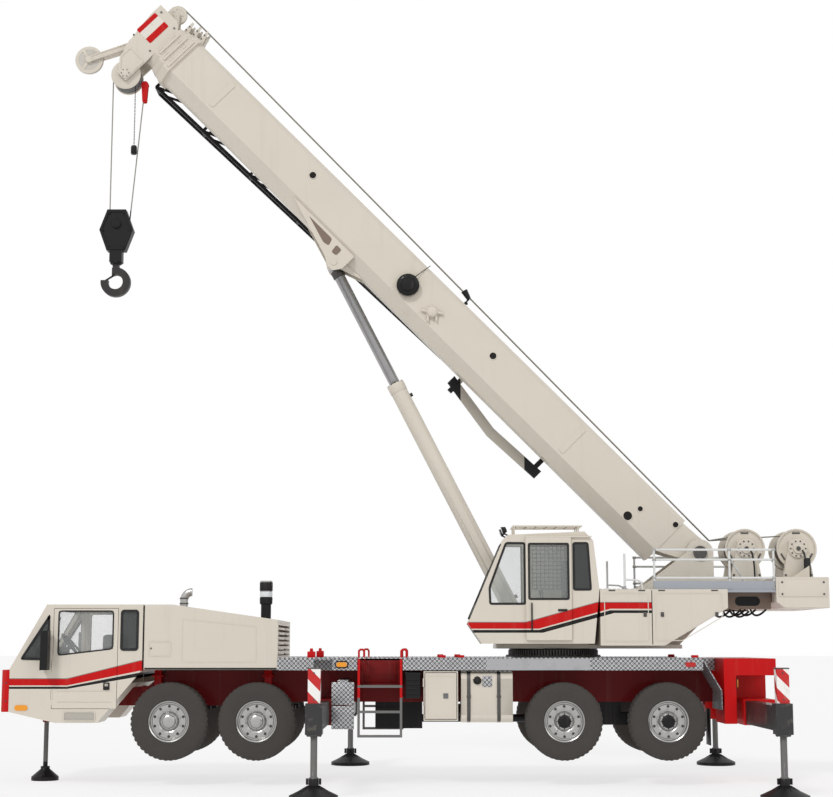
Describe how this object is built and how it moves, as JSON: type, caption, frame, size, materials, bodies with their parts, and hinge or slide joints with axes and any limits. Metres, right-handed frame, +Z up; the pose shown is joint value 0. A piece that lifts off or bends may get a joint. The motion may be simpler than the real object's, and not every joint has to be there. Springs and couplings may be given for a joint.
{
  "type": "mobile crane",
  "caption": "Hydraulic truck crane on its outriggers, with a hollow driver's cab, a slewing upper with its own cab, and a telescopic boom raised by a lift cylinder.",
  "frame": {"origin": "on the ground, below the middle of the machine's box", "axes": "-X is the way the truck drives, -Y its left side, +Z up"},
  "size_m": [12.48, 7.3698, 12.5827],
  "materials": {
    "body_paint": "gloss",
    "red_paint": "gloss",
    "black_paint": "satin",
    "dark_iron": "matte",
    "steel": "satin",
    "rubber": "matte",
    "glass": "gloss",
    "trim": "matte"
  },
  "bodies": {
    "carrier": {"carrier_frame": "red_paint", "carrier_deck": "body_paint", "front_bumper": "body_paint", "cab_shell": "body_paint", "cab_glass": "glass", "cab_interior": "trim", "engine_hood": "body_paint", "engine_block": "dark_iron", "exhaust_and_intake": "steel", "fuel_tank": "black_paint", "toolbox": "body_paint", "access_ladder": "steel", "axles": "red_paint", "drive_line": "red_paint", "slew_ring": "red_paint"},
    "superstructure": {"turntable": "red_paint", "side_covers": "body_paint", "counterweight": "black_paint", "winches": "dark_iron", "handrails": "steel", "operator_cab_shell": "body_paint", "operator_cab_glass": "glass", "operator_seat": "trim"},
    "boom_base": {"boom_base": "body_paint", "boom_jib": "body_paint"},
    "cab_door_left": {"cab_door_left": "body_paint"},
    "cab_door_right": {"cab_door_right": "body_paint"},
    "toolbox_door": {"toolbox_door": "body_paint"},
    "wheel_1_left": {"wheel_1_left": "rubber"},
    "knuckle_1_left": {"knuckle_1_left": "dark_iron"},
    "wheel_1_right": {"wheel_1_right": "rubber"},
    "knuckle_1_right": {"knuckle_1_right": "dark_iron"},
    "wheel_2_left": {"wheel_2_left": "rubber"},
    "knuckle_2_left": {"knuckle_2_left": "dark_iron"},
    "wheel_2_right": {"wheel_2_right": "rubber"},
    "knuckle_2_right": {"knuckle_2_right": "dark_iron"},
    "wheel_3_left": {"wheel_3_left": "rubber"},
    "wheel_3_right": {"wheel_3_right": "rubber"},
    "wheel_4_left": {"wheel_4_left": "rubber"},
    "wheel_4_right": {"wheel_4_right": "rubber"},
    "outrigger_beam_front_left": {"outrigger_beam_front_left": "body_paint"},
    "outrigger_jack_front_left": {"outrigger_jack_front_left": "black_paint"},
    "outrigger_beam_front_right": {"outrigger_beam_front_right": "body_paint"},
    "outrigger_jack_front_right": {"outrigger_jack_front_right": "black_paint"},
    "outrigger_beam_rear_left": {"outrigger_beam_rear_left": "body_paint"},
    "outrigger_jack_rear_left": {"outrigger_jack_rear_left": "black_paint"},
    "outrigger_beam_rear_right": {"outrigger_beam_rear_right": "body_paint"},
    "outrigger_jack_rear_right": {"outrigger_jack_rear_right": "black_paint"},
    "front_jack": {"front_jack": "black_paint"},
    "operator_door": {"operator_door": "body_paint"},
    "boom_foot_pin": {"boom_foot_pin": "steel"},
    "boom_section_2": {"boom_section_2": "body_paint"},
    "boom_section_3": {"boom_section_3": "body_paint"},
    "boom_section_4": {"boom_section_4": "body_paint"},
    "head_sheaves": {"head_sheaves": "steel"},
    "hook_block": {"hook_block": "black_paint"},
    "lift_foot_pin": {"lift_foot_pin": "steel"},
    "lift_barrel": {"lift_barrel": "body_paint"},
    "lift_piston": {"lift_piston": "steel"},
    "lift_rod": {"lift_rod": "steel"}
  },
  "joints": [
    {"name": "cab_door_left_swing", "type": "hinge", "parent": "carrier", "child": "cab_door_left", "pos_m": [-5.45, -1.262, 1.9], "axis": [0, 0, -1], "range_deg": [0, 65]},
    {"name": "cab_door_right_swing", "type": "hinge", "parent": "carrier", "child": "cab_door_right", "pos_m": [-5.45, 1.262, 1.9], "axis": [0, 0, 1], "range_deg": [0, 65]},
    {"name": "toolbox_door_swing", "type": "hinge", "parent": "carrier", "child": "toolbox_door", "pos_m": [0.106, -1.258, 1.325], "axis": [0, 0, -1], "range_deg": [0, 100]},
    {"name": "steer_1_left", "type": "hinge", "parent": "carrier", "child": "knuckle_1_left", "pos_m": [-3.69, -0.8, 0.952], "axis": [0, 0, 1], "range_deg": [-28, 28]},
    {"name": "roll_1_left", "type": "hinge", "parent": "knuckle_1_left", "child": "wheel_1_left", "pos_m": [-3.69, -1.085, 0.952], "axis": [0, 1, 0], "continuous": true},
    {"name": "steer_1_right", "type": "hinge", "parent": "carrier", "child": "knuckle_1_right", "pos_m": [-3.69, 0.8, 0.952], "axis": [0, 0, 1], "range_deg": [-28, 28]},
    {"name": "roll_1_right", "type": "hinge", "parent": "knuckle_1_right", "child": "wheel_1_right", "pos_m": [-3.69, 1.085, 0.952], "axis": [0, 1, 0], "continuous": true},
    {"name": "steer_2_left", "type": "hinge", "parent": "carrier", "child": "knuckle_2_left", "pos_m": [-2.385, -0.8, 0.952], "axis": [0, 0, 1], "range_deg": [-21, 21]},
    {"name": "roll_2_left", "type": "hinge", "parent": "knuckle_2_left", "child": "wheel_2_left", "pos_m": [-2.385, -1.085, 0.952], "axis": [0, 1, 0], "continuous": true},
    {"name": "steer_2_right", "type": "hinge", "parent": "carrier", "child": "knuckle_2_right", "pos_m": [-2.385, 0.8, 0.952], "axis": [0, 0, 1], "range_deg": [-21, 21]},
    {"name": "roll_2_right", "type": "hinge", "parent": "knuckle_2_right", "child": "wheel_2_right", "pos_m": [-2.385, 1.085, 0.952], "axis": [0, 1, 0], "continuous": true},
    {"name": "roll_3_left", "type": "hinge", "parent": "carrier", "child": "wheel_3_left", "pos_m": [2.205, -1.085, 0.952], "axis": [0, 1, 0], "continuous": true},
    {"name": "roll_3_right", "type": "hinge", "parent": "carrier", "child": "wheel_3_right", "pos_m": [2.205, 1.085, 0.952], "axis": [0, 1, 0], "continuous": true},
    {"name": "roll_4_left", "type": "hinge", "parent": "carrier", "child": "wheel_4_left", "pos_m": [3.755, -1.085, 0.952], "axis": [0, 1, 0], "continuous": true},
    {"name": "roll_4_right", "type": "hinge", "parent": "carrier", "child": "wheel_4_right", "pos_m": [3.755, 1.085, 0.952], "axis": [0, 1, 0], "continuous": true},
    {"name": "outrigger_front_left_extend", "type": "slide", "parent": "carrier", "child": "outrigger_beam_front_left", "axis": [0, -1, 0], "range_m": [-1.95, 0]},
    {"name": "jack_front_left_lower", "type": "slide", "parent": "outrigger_beam_front_left", "child": "outrigger_jack_front_left", "axis": [0, 0, -1], "range_m": [-0.5, 0.1]},
    {"name": "outrigger_front_right_extend", "type": "slide", "parent": "carrier", "child": "outrigger_beam_front_right", "axis": [0, 1, 0], "range_m": [-1.95, 0]},
    {"name": "jack_front_right_lower", "type": "slide", "parent": "outrigger_beam_front_right", "child": "outrigger_jack_front_right", "axis": [0, 0, -1], "range_m": [-0.5, 0.1]},
    {"name": "outrigger_rear_left_extend", "type": "slide", "parent": "carrier", "child": "outrigger_beam_rear_left", "axis": [0, -1, 0], "range_m": [-1.95, 0]},
    {"name": "jack_rear_left_lower", "type": "slide", "parent": "outrigger_beam_rear_left", "child": "outrigger_jack_rear_left", "axis": [0, 0, -1], "range_m": [-0.5, 0.1]},
    {"name": "outrigger_rear_right_extend", "type": "slide", "parent": "carrier", "child": "outrigger_beam_rear_right", "axis": [0, 1, 0], "range_m": [-1.95, 0]},
    {"name": "jack_rear_right_lower", "type": "slide", "parent": "outrigger_beam_rear_right", "child": "outrigger_jack_rear_right", "axis": [0, 0, -1], "range_m": [-0.5, 0.1]},
    {"name": "front_jack_lower", "type": "slide", "parent": "carrier", "child": "front_jack", "axis": [0, 0, -1], "range_m": [-0.35, 0.1]},
    {"name": "slew", "type": "hinge", "parent": "carrier", "child": "superstructure", "pos_m": [2.147, 0, 2.03], "axis": [0, 0, 1], "continuous": true},
    {"name": "operator_door_slide", "type": "slide", "parent": "superstructure", "child": "operator_door", "axis": [1, 0, 0], "range_m": [0, 0.55]},
    {"name": "boom_lower", "type": "hinge", "parent": "superstructure", "child": "boom_foot_pin", "pos_m": [4.43, 0, 3.508], "axis": [0, 1, 0], "range_deg": [-45.25, 0]},
    {"name": "boom_raise", "type": "hinge", "parent": "boom_foot_pin", "child": "boom_base", "pos_m": [4.43, 0, 3.508], "axis": [0, 1, 0], "range_deg": [0, 34.85]},
    {"name": "telescope_2", "type": "slide", "parent": "boom_base", "child": "boom_section_2", "axis": [-0.7046, 0, 0.7096], "range_m": [0, 8]},
    {"name": "telescope_3", "type": "slide", "parent": "boom_section_2", "child": "boom_section_3", "axis": [-0.7046, 0, 0.7096], "range_m": [0, 8]},
    {"name": "telescope_4", "type": "slide", "parent": "boom_section_3", "child": "boom_section_4", "axis": [-0.7046, 0, 0.7096], "range_m": [0, 8]},
    {"name": "hook_level_lower", "type": "hinge", "parent": "boom_section_4", "child": "head_sheaves", "pos_m": [-4.77746, 0, 11.36079], "axis": [0, 1, 0], "range_deg": [0, 45.25]},
    {"name": "hook_level_raise", "type": "hinge", "parent": "head_sheaves", "child": "hook_block", "pos_m": [-4.77746, 0, 11.36079], "axis": [0, 1, 0], "range_deg": [-34.85, 0]},
    {"name": "lift_swing_lower", "type": "hinge", "parent": "superstructure", "child": "lift_foot_pin", "pos_m": [1.6, 0, 2.45], "axis": [0, 1, 0], "range_deg": [-59.62, 0]},
    {"name": "lift_swing_raise", "type": "hinge", "parent": "lift_foot_pin", "child": "lift_barrel", "pos_m": [1.6, 0, 2.45], "axis": [0, 1, 0], "range_deg": [0, 32.52]},
    {"name": "lift_stroke_lower", "type": "slide", "parent": "lift_barrel", "child": "lift_piston", "axis": [-0.457, 0, 0.8895], "range_m": [-1.88185, 0]},
    {"name": "lift_stroke_raise", "type": "slide", "parent": "lift_piston", "child": "lift_rod", "axis": [-0.457, 0, 0.8895], "range_m": [0, 1.78238]}
  ],
  "couplings": [
    {"joint": "steer_1_right", "follows": "steer_1_left", "ratio": 1},
    {"joint": "steer_2_left", "follows": "steer_1_left", "ratio": 0.75},
    {"joint": "steer_2_right", "follows": "steer_1_left", "ratio": 0.75},
    {"joint": "telescope_3", "follows": "telescope_2", "ratio": 1},
    {"joint": "telescope_4", "follows": "telescope_2", "ratio": 1},
    {"joint": "boom_lower", "follows": "lift_stroke_lower", "rad_per_m": 0.41921},
    {"joint": "lift_swing_lower", "follows": "lift_stroke_lower", "rad_per_m": 0.55252},
    {"joint": "hook_level_lower", "follows": "lift_stroke_lower", "rad_per_m": -0.41921},
    {"joint": "boom_raise", "follows": "lift_stroke_raise", "rad_per_m": 0.34077},
    {"joint": "lift_swing_raise", "follows": "lift_stroke_raise", "rad_per_m": 0.31791},
    {"joint": "hook_level_raise", "follows": "lift_stroke_raise", "rad_per_m": -0.34077}
  ]
}
